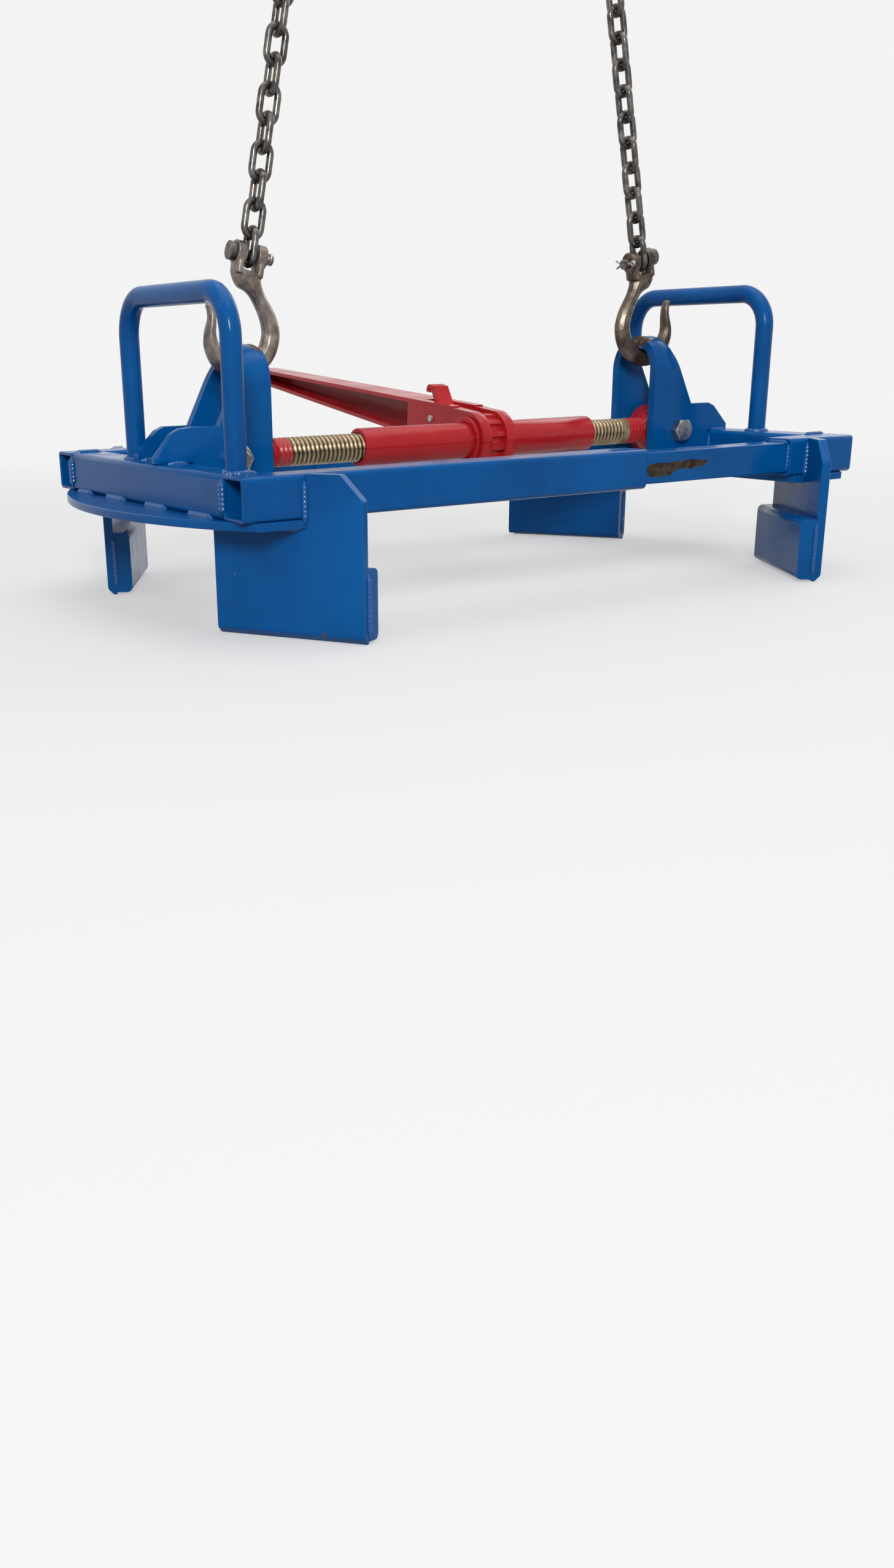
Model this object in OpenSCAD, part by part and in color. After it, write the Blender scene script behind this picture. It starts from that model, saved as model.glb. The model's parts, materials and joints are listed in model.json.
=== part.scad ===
// Adjustable below-hook drum lifter: two telescoping carriages, a ratchet binder between them,
// four jaw plates that catch under the drum's closing ring, and two hooks with chain legs.
// X runs along the rails, Y across them, Z is up; z = 0 is the face that sits on the drum's rim.

/* [Frame] */
// Side of the square tube
tube = 31.75; // [28:0.25:40]
// Wall of the square tube
wall = 2.8; // [2:0.1:3.5]
// Corner radius of the square tube
tube_r = 3.6; // [3.6:0.1:5]
// Half length over the two beams
half_x = 312; // [300:1:340]
// Half width over the two rails
half_y = 178; // [165:1:200]
// How far an outer rail reaches past the middle
rail_past = 64; // [40:1:90]
// Length of a stub tube
stub_len = 80; // [60:1:100]
// How far an inner bar reaches past the middle
bar_past = 120; // [100:1:150]
// Set-back of an inner bar from the stub's outer end
bar_setback = 12; // [5:1:30]

/* [Base plates] */
// Thickness of a base plate
plate_t = 6.35; // [5:0.05:8]
// Radius of a base plate's outer edge about the drum's axis
plate_edge_r = 350; // [340:1:380]
// Width of a base plate under the beam and inward of it
plate_in = 72; // [60:1:90]

/* [Jaws] */
// Angle of a jaw plate from the rails' direction
jaw_angle = 30; // [26:1:34]
// Distance of a jaw plate's outer face from the drum's axis
jaw_dist = 316; // [312:1:322]
// Thickness of a jaw plate
jaw_t = 7.94; // [6:0.02:10]
// Width of a jaw plate
jaw_w = 127; // [110:1:140]
// Sideways shift of a jaw plate toward its rail
jaw_shift = 6.5; // [0:0.5:12]
// Depth of a jaw plate below the base plate
jaw_depth = 82; // [70:1:100]
// Chamfer on a jaw plate's upper outer corner
jaw_corner = 18; // [10:1:24]
// Chamfer on a jaw plate's lower edge
jaw_edge = 5; // [2:0.5:6]
// Thickness of a gripping pad
pad_t = 14; // [10:0.5:18]
// Height of a gripping pad
pad_h = 52; // [40:1:56]
// Set-back of a pad from the jaw plate's lower edge
pad_up = 2; // [0:0.5:6]
// Rounding of a pad's free edges
pad_r = 5; // [2:0.5:6.5]

/* [Lugs] */
// Distance of a lug's inner edge from its carriage's outer end
lug_in = 106; // [100:1:112]
// Height of a lug's crown above the base plate's underside
lug_top = 125.4; // [115:0.2:140]
// Thickness of the lug strap
lug_t = 8; // [6:0.5:9.5]
// Clear width between a lug's legs
lug_gap = 44; // [40:0.5:50]
// Length of a lug's crown along the rails
crown_len = 22; // [18:0.5:24]
// Width of a lug's legs where the slant ends
leg_foot = 48; // [42:1:54]
// Height of the heel above the beam
heel_h = 25.4; // [20:0.2:30]
// Overlap of the heel on the beam's top
heel_on = 22; // [15:0.5:24]
// Diameter of a lug bolt
bolt_d = 12.7; // [10:0.1:14]
// Distance of the bolts from their carriage's outer end
bolt_x = 72; // [68:1:80]
// Width across flats of bolt heads and nuts
hex_af = 19.05; // [17:0.05:22]
// Height of a bolt head
head_h = 8; // [6:0.5:10]
// Height of a nut
nut_h = 11; // [8:0.5:13]
// Bolt end beyond its nut
bolt_end = 4; // [1:0.5:8]

/* [Grab handles] */
// Diameter of the handle bar
grip_d = 16; // [12:0.5:20]
// Spacing of a handle's legs
grip_span = 178; // [150:1:190]
// Height of a handle above the beam
grip_h = 131; // [110:1:150]
// Bend radius at a handle's corners, to the bar's centre line
grip_bend = 30; // [20:1:40]
// Middle of the left handle across the rails
grip_left_y = -50.5; // [-50.5:0.5:-46]
// Middle of the right handle across the rails
grip_right_y = 13; // [0:1:40]

/* [Binder] */
// Height of the binder's axis above the base plate's underside
axis_z = 39.5; // [36:0.5:44]
// Diameter of the screws
screw_d = 24; // [20:0.5:26]
// Distance of the screws' inner ends from the middle
screw_in = 40; // [36:1:50]
// Distance of the screws' outer ends from their carriage's outer end
screw_out = 122; // [117:0.5:132]
// Diameter of an eye
eye_d = 45; // [40:0.5:48]
// Width of an eye along its bolt
eye_w = 38; // [30:0.5:39]
// Diameter of an eye's neck at the screw
neck_d = 27; // [26.5:0.25:31]
// Outer diameter of the barrel
barrel_d = 32; // [31:0.25:36]
// Length of the barrel
barrel_len = 254; // [240:1:258]
// Middle of the barrel along the rails
barrel_x = 20; // [10:1:22]

/* [Ratchet] */
// Middle of the ratchet gear along the rails
gear_x = 28; // [20:1:36]
// Outer diameter of the ratchet gear
gear_d = 46; // [43:0.5:50]
// Width of the ratchet gear
gear_w = 16; // [14:0.5:20]
// Number of teeth on the ratchet gear
gear_teeth = 12; // [10:1:14]
// Radius of the tooth spaces
tooth_r = 3.6; // [3:0.1:4]
// Diameter of the handle's cheeks
cheek_d = 50; // [48:0.5:56]
// Thickness of the handle's cheeks
cheek_t = 10; // [6:0.5:12]
// Thickness of the retaining washers
washer_t = 3.4; // [2:0.2:5]
// Diameter of the retaining washers
washer_d = 42; // [38:0.5:46]
// Length of the ratchet handle from the barrel's axis
lever_len = 420; // [380:1:440]
// Width of the ratchet handle at its tip
lever_tip_w = 26; // [22:0.5:30]
// Top of the ratchet handle above the barrel's axis
lever_top = 27; // [26:0.5:30]
// Depth of the ratchet handle at the pawl
hub_depth = 36; // [30:0.5:38]
// Depth of the ratchet handle at its tip
tip_depth = 14; // [10:0.5:18]
// Sheet thickness of the ratchet handle
lever_t = 3.5; // [2.5:0.1:4]
// Rise of the ratchet handle from level
lever_rise = 4.5; // [4:0.5:8]
// Distance of the pawl's pin from the barrel's axis
pawl_at = 58; // [54:0.5:66]
// Diameter of the pawl's pin
pawl_pin_d = 6; // [5:0.5:8]

/* [Hooks and chains] */
// Lean of a hook and its chain from upright, toward the middle
lean = 11.5; // [4:0.5:14]
// Inner radius of a hook's bowl
bowl_r = 21; // [20:0.1:22]
// Thickness of a hook's round section
hook_d = 16; // [13:0.5:17]
// Distance from the bowl's centre to the clevis pin
clevis_up = 58; // [55:0.5:64]
// Length of a hook's shank between its bowl and its fork
shank_len = 30; // [28:0.5:31]
// Height of a hook's fork below the gap between its ears
fork_h = 13; // [12:0.5:14]
// Length of a hook's tip past its bowl
tip_len = 27; // [20:0.5:30]
// Thickness of the ears round the clevis pin
ear_wall = 6; // [5:0.5:7]
// Room under the first link
link_room = 2; // [1:0.1:3]
// Diameter of the clevis pin
clevis_pin_d = 8.4; // [7:0.1:8.4]
// Thickness of a clevis ear
ear_t = 8.5; // [7:0.1:9]
// Gap between the clevis ears
ear_gap = 9.6; // [9:0.1:10.5]
// Wire diameter of the chain
wire_d = 5.6; // [5:0.1:6]
// Inside length of a link
link_in = 21.2; // [20:0.1:24]
// Inside width of a link
link_w = 9; // [9:0.1:10]
// Links in each chain leg
link_count = 11; // [9:2:13]
// Wire diameter of an end link
end_wire = 8; // [6.5:0.1:8]
// Inside length of an end link
end_in = 36; // [30:1:46]
// Inside width of an end link
end_w = 22; // [18:0.5:28]

/* [Clearances] */
// Running clearance on a radius
run_gap = 0.1; // [0.05:0.05:0.2]
// Clearance between faces that move past each other
face_gap = 0.3; // [0.2:0.1:0.5]
// Clearance of an inner bar in its tube, on each side
bar_gap = 0.375; // [0.3:0.025:0.5]

/* [Hidden] */
$fn = 48;

paint_blue = [0.02, 0.30, 0.58];
paint_red = [0.70, 0.14, 0.17];
zinc_yellow = [0.62, 0.50, 0.30];
zinc_white = [0.72, 0.72, 0.70];
forged = [0.36, 0.32, 0.29];
chain_steel = [0.26, 0.25, 0.25];

rail_z = plate_t + tube / 2;
deck_z = plate_t + tube;
rail_y = half_y - tube / 2;
bar_w = tube - 2 * wall - 2 * bar_gap;
beam_in = half_x - tube;
lug_at = half_x - lug_in;
bolt_at = half_x - bolt_x;
screw_at = half_x - screw_out;
pad_z = -jaw_depth + pad_up;
leg_out = lug_gap / 2 + lug_t;
bend_z = lug_top - leg_out;
crown_x = lug_at + crown_len / 2;
bowl_z = lug_top - lug_t + sqrt(pow(bowl_r - face_gap, 2) - pow(crown_len / 2, 2));
hook_r = hook_d / 2;
bowl_mid = bowl_r + hook_r;
ear_r = clevis_pin_d / 2 + ear_wall;
clevis_floor = clevis_up - clevis_pin_d / 2 - wire_d - link_room;
link_step = link_in - face_gap;
link_0 = clevis_up - clevis_pin_d / 2 - face_gap + link_in / 2;
end_link_up = link_0 + (link_count - 1) * link_step + link_in / 2 + end_in / 2 - face_gap;
cheek_in = gear_w / 2 + face_gap;
cheek_out = cheek_in + cheek_t;
lever_w = 2 * cheek_out;
lever_root = pawl_at + 40;
pawl_z = lever_top - 14;
ear_out = ear_gap / 2 + ear_t;
barrel_bore = screw_d + 2 * run_gap;
yoke_bore = barrel_d + 2 * run_gap;

// Square with round corners, centred
module round_square(w, r) {
  square([w, w - 2 * r], center = true);
  square([w - 2 * r, w], center = true);
  for (sx = [-1, 1], sy = [-1, 1])
    translate([sx * (w / 2 - r), sy * (w / 2 - r)]) circle(r);
}

// Profile drawn in Y and Z, extruded from x0 to x1
module along_x(x0, x1) {
  translate([x0, 0, 0]) rotate([90, 0, 90]) linear_extrude(x1 - x0) children();
}

// Profile drawn in X and Z, extruded from y0 to y1
module along_y(y0, y1) {
  translate([0, y1, 0]) rotate([90, 0, 0]) linear_extrude(y1 - y0) children();
}

module tube_section() {
  difference() {
    round_square(tube, tube_r);
    round_square(tube - 2 * wall, tube_r - wall);
  }
}

// Solid round bar from y0 to y1 at x and z
module pin_y(x, z, d, y0, y1, sides = 48) {
  translate([x, y1, z]) rotate([90, 0, 0]) cylinder(d = d, h = y1 - y0, $fn = sides);
}

// Arc of round bar in the X-Z plane
module arc_xz(r_mid, r_bar, a0, a1) {
  rotate([90, 0, 0]) rotate([0, 0, a0]) rotate_extrude(angle = a1 - a0)
    translate([r_mid, 0]) circle(r_bar);
}

// Tapered round bar in the X-Z plane between two points
module taper_xz(p, q, r0, r1) {
  d = q - p;
  translate([p[0], 0, p[1]]) rotate([0, atan2(d[0], d[1]), 0])
    cylinder(r1 = r0, r2 = r1, h = norm(d));
}

// The right carriage repeats the left one, turned half a turn about the drum's axis
module right_side() {
  rotate([0, 0, 180]) children();
}

module beam() {
  color(paint_blue) translate([-half_x + tube / 2, half_y - tube, rail_z]) rotate([90, 0, 0])
    linear_extrude(2 * (half_y - tube)) tube_section();
}

module outer_rail() {
  color(paint_blue) along_x(-half_x, rail_past) translate([-rail_y, rail_z]) tube_section();
}

module stub_rail() {
  color(paint_blue) along_x(-half_x, -half_x + stub_len) translate([rail_y, rail_z]) tube_section();
}

module inner_bar() {
  color(paint_blue) along_x(-half_x + bar_setback, bar_past) translate([rail_y, rail_z])
    round_square(bar_w, 1.2);
}

// Segment plate under the beam, its outer edge an arc about the drum's axis
module base_plate() {
  color(paint_blue) linear_extrude(plate_t) intersection() {
    circle(plate_edge_r, $fn = 180);
    translate([-plate_edge_r, -half_y]) square([plate_edge_r - half_x + plate_in, 2 * half_y]);
  }
}

// Places a jaw: X outward from the drum, Y along the plate toward its rail, on the side s of the rails
module at_jaw(s) {
  mirror([0, s > 0 ? 1 : 0, 0]) rotate([0, 0, 180 + jaw_angle]) children();
}

module jaw_outline() {
  polygon([
    [jaw_shift - jaw_w / 2, -jaw_depth],
    [jaw_shift + jaw_w / 2, -jaw_depth],
    [jaw_shift + jaw_w / 2, deck_z - jaw_corner],
    [jaw_shift + jaw_w / 2 - jaw_corner, deck_z],
    [jaw_shift - jaw_w / 2, deck_z]
  ]);
}

// Jaw plate, cut back above the base plate where the rail passes
module jaw(s) {
  color(paint_blue) difference() {
    at_jaw(s) difference() {
      along_x(jaw_dist - jaw_t, jaw_dist) jaw_outline();
      translate([jaw_dist, 0, -jaw_depth]) rotate([0, 45, 0])
        cube([jaw_edge * sqrt(2), 2 * jaw_w, jaw_edge * sqrt(2)], center = true);
    }
    translate([-2 * half_x, -half_y, 0])
      cube([2 * half_x, 2 * half_y, 2 * deck_z]);
  }
}

// Gripping pad on a jaw plate's inner face, its free edges rounded
module pad(s) {
  face = jaw_dist - jaw_t;
  color(paint_blue) at_jaw(s) translate([0, jaw_shift + jaw_w / 2, 0]) rotate([90, 0, 0])
    linear_extrude(jaw_w) {
    translate([face - pad_t + pad_r, pad_z]) square([pad_t - pad_r, pad_h]);
    translate([face - pad_t, pad_z + pad_r]) square([pad_r, pad_h - 2 * pad_r]);
    for (z = [pad_z + pad_r, pad_z + pad_h - pad_r])
      translate([face - pad_t + pad_r, z]) circle(pad_r);
  }
}

// Side view of a lug, without its heel
module lug_side() {
  top_out = lug_at + crown_len;
  foot_z = deck_z + heel_h;
  polygon([
    [-lug_at, axis_z - 18], [-lug_at, lug_top - 6], [-lug_at - 3, lug_top + 1],
    [-top_out + 4, lug_top + 1], [-top_out - 2, lug_top - 16],
    [-lug_at - leg_foot, foot_z], [-beam_in, deck_z - tube_r],
    [-beam_in, plate_t + tube_r + 2], [-lug_at - 16, plate_t + tube_r + 2]
  ]);
}

// Heel that runs out over the beam, its end sloped down
module heel_side() {
  tip = beam_in + heel_on;
  top = deck_z + heel_h;
  polygon([
    [-lug_at - 10, deck_z], [-lug_at - 10, top], [-beam_in + 3, top],
    [-beam_in - 4, top - 3], [-tip, deck_z + 5], [-tip, deck_z]
  ]);
}

// Strap bent to an inverted U over the hook, with a bolt hole through both legs
module lug() {
  color(paint_blue) difference() {
    union() {
      intersection() {
        along_y(-leg_out, leg_out) lug_side();
        along_x(-half_x, -lug_at + 1) difference() {
          union() {
            translate([0, bend_z]) circle(leg_out);
            translate([-leg_out, 0]) square([2 * leg_out, bend_z]);
          }
          translate([0, bend_z]) circle(lug_gap / 2);
          translate([-lug_gap / 2, -1]) square([lug_gap, bend_z + 1]);
        }
      }
      along_y(lug_gap / 2, leg_out) heel_side();
    }
    pin_y(-bolt_at, axis_z, bolt_d + 2 * run_gap, -leg_out - 1, leg_out + 1);
  }
}

module lug_bolt() {
  color(zinc_white) {
    pin_y(-bolt_at, axis_z, bolt_d, -leg_out - nut_h - bolt_end, leg_out + head_h / 2);
    pin_y(-bolt_at, axis_z, hex_af / cos(30), leg_out, leg_out + head_h, 6);
  }
}

module lug_nut() {
  color(zinc_white) difference() {
    pin_y(-bolt_at, axis_z, hex_af / cos(30), -leg_out - nut_h, -leg_out, 6);
    pin_y(-bolt_at, axis_z, bolt_d + 2 * run_gap, -leg_out - nut_h - 1, -leg_out + 1);
  }
}

// Bar bent to a U that stands on the beam, centred at y
module grab_handle(y) {
  x = -half_x + tube / 2;
  top = deck_z + grip_h - grip_d / 2;
  half = grip_span / 2;
  color(paint_blue) translate([x, y, 0]) {
    for (s = [-1, 1]) {
      translate([0, s * half, deck_z]) cylinder(d = grip_d, h = top - grip_bend - deck_z);
      translate([0, s * (half - grip_bend), top - grip_bend]) rotate([0, 0, s * 90])
        rotate([90, 0, 0]) rotate_extrude(angle = 90) translate([grip_bend, 0]) circle(d = grip_d);
    }
    translate([0, -half + grip_bend, top]) rotate([-90, 0, 0])
      cylinder(d = grip_d, h = grip_span - 2 * grip_bend);
  }
}

// Eye on the lug bolt, with a neck that tapers to the screw
module eye() {
  color(paint_red) difference() {
    union() {
      pin_y(-bolt_at, axis_z, eye_d, -eye_w / 2, eye_w / 2);
      translate([-bolt_at, 0, axis_z]) rotate([0, 90, 0])
        cylinder(d1 = min(eye_w, eye_d) - 2, d2 = neck_d, h = bolt_at - screw_at);
    }
    pin_y(-bolt_at, axis_z, bolt_d + 2 * run_gap, -eye_w, eye_w);
  }
}

module screw() {
  color(zinc_yellow) translate([-screw_at, 0, axis_z]) rotate([0, 90, 0])
    cylinder(d = screw_d, h = screw_at - screw_in);
}

// Places a hook and its chain: origin at the bowl's centre, Z up the leg, X toward the middle
module at_hook() {
  translate([-crown_x, 0, bowl_z]) rotate([0, lean, 0]) children();
}

// Slip hook: round bowl, a shank that leans back over it to a fork, and a tapered tip
module hook() {
  tip_a = 12;
  shank_a = 40;
  shank_foot = bowl_mid * [cos(shank_a), sin(shank_a)];
  shank_way = [-sin(shank_a), cos(shank_a)];
  fork_z = clevis_floor - 0.1 * link_room;
  color(forged) at_hook() difference() {
    union() {
      arc_xz(bowl_mid, hook_r, 180 + tip_a, 360 + shank_a);
      taper_xz(shank_foot - hook_r / 8 * shank_way, shank_foot + shank_len * shank_way, hook_r * 0.9875,
        hook_r * 0.925);
      translate([-bowl_mid * cos(tip_a), 0, -bowl_mid * sin(tip_a)]) rotate([0, -tip_a, 0])
        hook_tip();
      along_y(-hook_r * 1.0625, hook_r * 1.0625) polygon([
        [-hook_r * 0.375, fork_z - fork_h], [ear_out + hook_r * 0.075, fork_z - fork_h * 7 / 13],
        [ear_out, fork_z],
        [ear_out, clevis_up], [-ear_out, clevis_up], [-ear_out, fork_z]
      ]);
      along_x(-ear_out, ear_out) translate([0, clevis_up]) circle(ear_r);
    }
    translate([-ear_gap / 2, -2 * ear_r, clevis_floor]) cube([ear_gap, 4 * ear_r, 4 * ear_r]);
    along_x(-2 * ear_out, 2 * ear_out) translate([0, clevis_up]) circle(d = clevis_pin_d + 2 * run_gap);
  }
}

// Tapered, round-ended tip on the bowl's free end
module hook_tip() {
  r_end = hook_r * 0.4;
  translate([0, 0, -hook_r / 8]) cylinder(r1 = hook_r * 0.9875, r2 = r_end, h = tip_len + hook_r / 8);
  translate([0, 0, tip_len - r_end * 0.32]) rotate([0, 90, 0]) sphere(r_end * 1.03);
}

// Pin across the fork, headed at its outboard end
module clevis_pin() {
  color(forged) at_hook() {
    along_x(-ear_out - 0.5, ear_out + 7) translate([0, clevis_up]) circle(d = clevis_pin_d);
    along_x(-ear_out - 5, -ear_out - face_gap) translate([0, clevis_up]) circle(d = clevis_pin_d + 6);
  }
}

// Oval link of round wire, standing along Z in the X-Z plane
module oval_link(d, inside, width) {
  r_mid = (width + d) / 2;
  straight = inside - width;
  for (a = [0, 180]) rotate([0, a, 0]) {
    translate([0, 0, straight / 2]) arc_xz(r_mid, d / 2, 0, 180);
    translate([r_mid, 0, -straight / 2]) cylinder(d = d, h = straight);
  }
}

module chain() {
  color(chain_steel) at_hook() for (k = [0:link_count - 1])
    translate([0, 0, link_0 + k * link_step]) rotate([0, 0, 90 * ((k + 1) % 2)])
      oval_link(wire_d, link_in, link_w);
}

module end_link() {
  color(chain_steel) at_hook() translate([0, 0, end_link_up]) rotate([0, 0, 90 * ((link_count + 1) % 2)])
    oval_link(end_wire, end_in, end_w);
}

module barrel_tube() {
  color(paint_red) translate([barrel_x - barrel_len / 2, 0, axis_z]) rotate([0, 90, 0]) difference() {
    cylinder(d = barrel_d, h = barrel_len);
    translate([0, 0, -1]) cylinder(d = barrel_bore, h = barrel_len + 2);
  }
}

// Ratchet wheel on the barrel, with round tooth spaces
module gear() {
  color(paint_red) translate([gear_x - gear_w / 2, 0, axis_z]) rotate([0, 90, 0]) linear_extrude(gear_w)
    difference() {
      circle(d = gear_d);
      circle(d = yoke_bore);
      for (k = [0:gear_teeth - 1]) rotate(k * 360 / gear_teeth)
        translate([gear_d / 2, 0]) circle(tooth_r);
    }
}

// Retaining washer beside a cheek, on the side s
module yoke_washer(s) {
  x = gear_x + s * (cheek_out + face_gap + washer_t / 2) - washer_t / 2;
  color(paint_red) translate([x, 0, axis_z]) rotate([0, 90, 0]) linear_extrude(washer_t) difference() {
    circle(d = washer_d);
    circle(d = yoke_bore);
  }
}

// Places the ratchet handle: X across it, Y along it, Z above the barrel's axis
module at_lever() {
  translate([gear_x, 0, axis_z]) rotate([lever_rise, 0, 0]) children();
}

// Depth of the ratchet handle at y
function lever_deep(y) = hub_depth + (tip_depth - hub_depth) * (y - pawl_at) / (lever_len - pawl_at);

// Plan of the ratchet handle, with a round tip
module lever_plan() {
  r = lever_tip_w / 2;
  end = lever_len - r;
  polygon([
    [-cheek_out, cheek_d / 2 + 3], [cheek_out, cheek_d / 2 + 3],
    [cheek_out, lever_root], [r, end], [-r, end], [-cheek_out, lever_root]
  ]);
  translate([0, end]) circle(r);
}

// Plan of the channel's hollow, open on its left side
module hollow_plan() {
  r = lever_tip_w / 2;
  far = lever_len - 12;
  polygon([
    [-lever_w, lever_root], [cheek_out - lever_t, lever_root],
    [r - lever_t, lever_len - r], [r - lever_t, far], [-lever_w, far]
  ]);
}

// Side view of the ratchet handle between y0 and y1, inset by t above and below
module lever_side(y0, y1, t) {
  polygon([
    [y0, lever_top - t], [y1, lever_top - t],
    [y1, lever_top - lever_deep(y1) + t], [y0, lever_top - lever_deep(y0) + t]
  ]);
}

// Tapered channel with two cheeks that ride on the barrel and a slot for the pawl
module lever() {
  low = lever_top - hub_depth;
  color(paint_red) at_lever() difference() {
    union() {
      intersection() {
        translate([0, 0, low - 5]) linear_extrude(hub_depth + 10) lever_plan();
        along_x(-lever_w, lever_w) lever_side(0, lever_len + 1, 0);
      }
      for (s = [-1, 1]) translate([s > 0 ? cheek_in : -cheek_out, 0, 0])
        rotate([90, 0, 90]) linear_extrude(cheek_t) {
          circle(d = cheek_d);
          polygon([[0, -cheek_d / 2], [pawl_at - 8, low], [pawl_at + 8, lever_top], [0, cheek_d / 2]]);
        }
    }
    intersection() {
      translate([0, 0, low - 5]) linear_extrude(hub_depth + 10) hollow_plan();
      along_x(-2 * lever_w, lever_w) lever_side(lever_root - 1, lever_len, lever_t);
    }
    rotate([0, 90, 0]) cylinder(d = yoke_bore, h = 2 * lever_w, center = true);
    translate([-cheek_in, 0, low - 30]) cube([2 * cheek_in, pawl_at + 26, hub_depth + 60]);
    translate([0, pawl_at, pawl_z]) rotate([0, 90, 0])
      cylinder(d = pawl_pin_d + 2 * run_gap, h = 2 * lever_w, center = true);
  }
}

// Pawl between the cheeks, its nose clear of the teeth and its tab curled above the channel
module pawl_body() {
  low = lever_top - 22;
  nose = gear_d / 2 + 0.6;
  color(paint_red) at_lever() translate([-gear_w / 2, 0, 0]) rotate([90, 0, 90])
    linear_extrude(gear_w) difference() {
    union() {
      translate([pawl_at, pawl_z]) circle(d = pawl_pin_d + 8);
      polygon([[nose, 8], [nose + 8, 1], [pawl_at, low + 1], [pawl_at, low + 15], [nose + 5, 17]]);
      polygon([[pawl_at - 2, low + 14], [pawl_at + 4, low + 11], [pawl_at + 17, lever_top + 9],
        [pawl_at + 17, lever_top + 13], [pawl_at + 13, lever_top + 13]]);
      translate([pawl_at + 20, lever_top + 9]) difference() {
        circle(5);
        circle(1.6);
        translate([-8, -16]) square([16, 14]);
      }
    }
    translate([pawl_at, pawl_z]) circle(d = pawl_pin_d + 2 * run_gap);
  }
}

module pawl_axle() {
  color(zinc_white) at_lever() translate([-cheek_out - 2, pawl_at, pawl_z])
    rotate([0, 90, 0]) cylinder(d = pawl_pin_d, h = lever_w + 4);
}

beam();  // left_beam
outer_rail();  // left_outer_rail
stub_rail();  // left_stub_rail
inner_bar();  // left_inner_bar
base_plate();  // left_base_plate
jaw(-1);  // left_jaw_front
jaw(1);  // left_jaw_rear
pad(-1);  // left_pad_front
pad(1);  // left_pad_rear
lug();  // left_lug
grab_handle(grip_left_y);  // left_grab_handle
lug_bolt();  // left_lug_bolt
lug_nut();  // left_lug_nut
eye();  // left_eye
screw();  // left_screw
hook();  // left_hook
clevis_pin();  // left_clevis_pin
chain();  // left_chain
end_link();  // left_end_link
right_side() beam();  // right_beam
right_side() outer_rail();  // right_outer_rail
right_side() stub_rail();  // right_stub_rail
right_side() inner_bar();  // right_inner_bar
right_side() base_plate();  // right_base_plate
right_side() jaw(1);  // right_jaw_front
right_side() jaw(-1);  // right_jaw_rear
right_side() pad(1);  // right_pad_front
right_side() pad(-1);  // right_pad_rear
right_side() lug();  // right_lug
right_side() grab_handle(-grip_right_y);  // right_grab_handle
right_side() lug_bolt();  // right_lug_bolt
right_side() lug_nut();  // right_lug_nut
right_side() eye();  // right_eye
right_side() screw();  // right_screw
right_side() hook();  // right_hook
right_side() clevis_pin();  // right_clevis_pin
right_side() chain();  // right_chain
right_side() end_link();  // right_end_link
barrel_tube();  // barrel
gear();  // ratchet_gear
yoke_washer(-1);  // left_yoke_washer
yoke_washer(1);  // right_yoke_washer
lever();  // ratchet_handle
pawl_body();  // pawl
pawl_axle();  // pawl_pin
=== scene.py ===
import json
import math
import bmesh
import bpy
from mathutils import Matrix, Vector


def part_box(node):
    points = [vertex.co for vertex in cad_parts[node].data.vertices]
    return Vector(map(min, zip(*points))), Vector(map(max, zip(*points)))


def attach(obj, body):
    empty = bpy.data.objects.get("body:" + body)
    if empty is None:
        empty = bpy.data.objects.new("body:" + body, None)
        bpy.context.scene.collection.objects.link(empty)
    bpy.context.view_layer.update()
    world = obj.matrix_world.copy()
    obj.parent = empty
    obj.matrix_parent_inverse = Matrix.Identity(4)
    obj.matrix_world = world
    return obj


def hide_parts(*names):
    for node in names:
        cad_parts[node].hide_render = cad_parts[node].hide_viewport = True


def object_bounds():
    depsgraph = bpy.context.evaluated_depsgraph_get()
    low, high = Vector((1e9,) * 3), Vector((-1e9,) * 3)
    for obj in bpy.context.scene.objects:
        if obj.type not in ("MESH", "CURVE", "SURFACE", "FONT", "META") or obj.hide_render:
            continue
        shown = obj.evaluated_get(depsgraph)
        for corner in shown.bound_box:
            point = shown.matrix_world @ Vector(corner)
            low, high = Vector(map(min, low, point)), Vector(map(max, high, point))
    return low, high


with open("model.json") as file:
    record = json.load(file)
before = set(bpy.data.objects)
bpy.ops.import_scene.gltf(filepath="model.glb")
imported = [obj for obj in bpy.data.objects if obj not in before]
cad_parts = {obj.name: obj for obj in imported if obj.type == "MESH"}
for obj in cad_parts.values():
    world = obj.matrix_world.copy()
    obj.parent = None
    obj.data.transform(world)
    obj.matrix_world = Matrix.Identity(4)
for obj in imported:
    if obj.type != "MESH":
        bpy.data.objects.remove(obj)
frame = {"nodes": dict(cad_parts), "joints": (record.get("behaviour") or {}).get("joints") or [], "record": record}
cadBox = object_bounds()
nodes = frame["nodes"]
print("frame loaded:", len(nodes), "solids")

# camera, matched to the photograph
cameraSettings = {
    "place": (-0.775, -1.079, 0.1264),
    "heading": 30.95,    # degrees from +Y toward +X
    "dip": 20.06,
    "roll": -1.11,
    "focal": 2302.0,     # pixels of the 1456 x 2555 frame
    "axisPixel": (561.0, 1396.0),
    "frame": (1456.0, 2555.0),
    "sensor": 36.0,
    "clip": (0.01, 50.0),
}


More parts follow.
